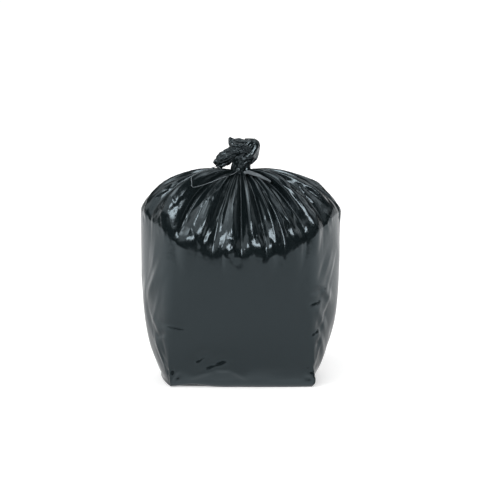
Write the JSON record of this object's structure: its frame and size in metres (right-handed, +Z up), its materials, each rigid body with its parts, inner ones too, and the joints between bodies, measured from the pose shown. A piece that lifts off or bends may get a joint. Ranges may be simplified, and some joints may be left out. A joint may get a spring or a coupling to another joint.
{
  "type": "full bin bag",
  "caption": "Full black gusseted refuse sack standing on its base, its top gathered into a knot tied in its own neck.",
  "frame": {"origin": "on the floor, at the middle of the sack's bounding box", "axes": "+Z up from the base to the knot, +X across the front panel, -Y out of the front panel"},
  "size_m": [0.6176, 0.318, 0.7523],
  "materials": {
    "film": "glossy creased polythene film"
  },
  "bodies": {
    "root": {"bin_bag": "film"}
  },
  "joints": []
}
